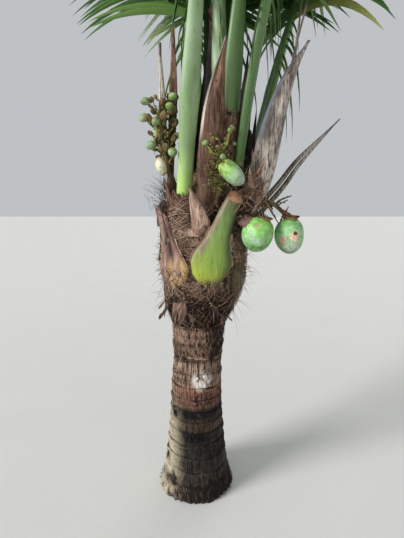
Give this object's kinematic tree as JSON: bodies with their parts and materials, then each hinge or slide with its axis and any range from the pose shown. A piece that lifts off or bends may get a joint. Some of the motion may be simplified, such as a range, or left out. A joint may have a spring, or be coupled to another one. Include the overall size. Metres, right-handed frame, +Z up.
{
  "type": "coconut palm tree",
  "caption": "Young coconut palm with a short ringed trunk, cut and dead leaf bases, dry bracts, hanging nut bunches and a full crown of arching fronds",
  "frame": {"origin": "middle of the flat cut under the trunk, at ground level", "axes": "+Z up, +Y to the back of the view that shows the green cut leaf stalk in front, +X to its right"},
  "size_m": [4.6104, 5.231, 4.2618],
  "materials": {
    "bark": "rough ringed bark, dark and wet in bands",
    "sheath_fibre": "matted brown fibre",
    "green_leaf_base": "waxy green, yellow at the foot, with a tan cut face",
    "dead_leaf_base": "dull brown and split",
    "dry_bract": "dry, grooved and grey-brown",
    "nuts": "smooth green husk with a pale bloom",
    "frond": "satin green leaflets on a waxy stalk",
    "young_leaf": "satin yellow-green"
  },
  "bodies": {
    "root": {"bract_back": "dry_bract", "bract_far_right": "dry_bract", "bract_left": "dry_bract", "bract_left_dark": "dry_bract", "bract_middle": "dry_bract", "bract_right": "dry_bract", "crown_heart": "sheath_fibre", "cut_petiole_back_left": "green_leaf_base", "cut_petiole_back_right": "green_leaf_base", "cut_petiole_front": "green_leaf_base", "dead_base_back": "dead_leaf_base", "dead_base_left": "dead_leaf_base", "dead_base_right": "dead_leaf_base", "frond_01": "frond", "frond_01_tip": "frond", "frond_02": "frond", "frond_02_tip": "frond", "frond_03": "frond", "frond_03_tip": "frond", "frond_04": "frond", "frond_04_tip": "frond", "frond_05": "frond", "frond_05_tip": "frond", "frond_06": "frond", "frond_06_tip": "frond", "frond_07": "frond", "frond_07_tip": "frond", "frond_08": "frond", "frond_08_tip": "frond", "frond_09": "frond", "frond_10": "frond", "frond_11": "frond", "frond_12": "frond", "frond_13": "frond", "frond_14": "frond", "nut_bunch_back_left": "nuts", "nut_bunch_back_right": "nuts", "nut_bunch_left": "nuts", "nut_bunch_middle": "nuts", "nut_bunch_right": "nuts", "spear_leaf": "young_leaf", "torn_sheath": "dry_bract", "trunk": "bark"}
  },
  "joints": []
}
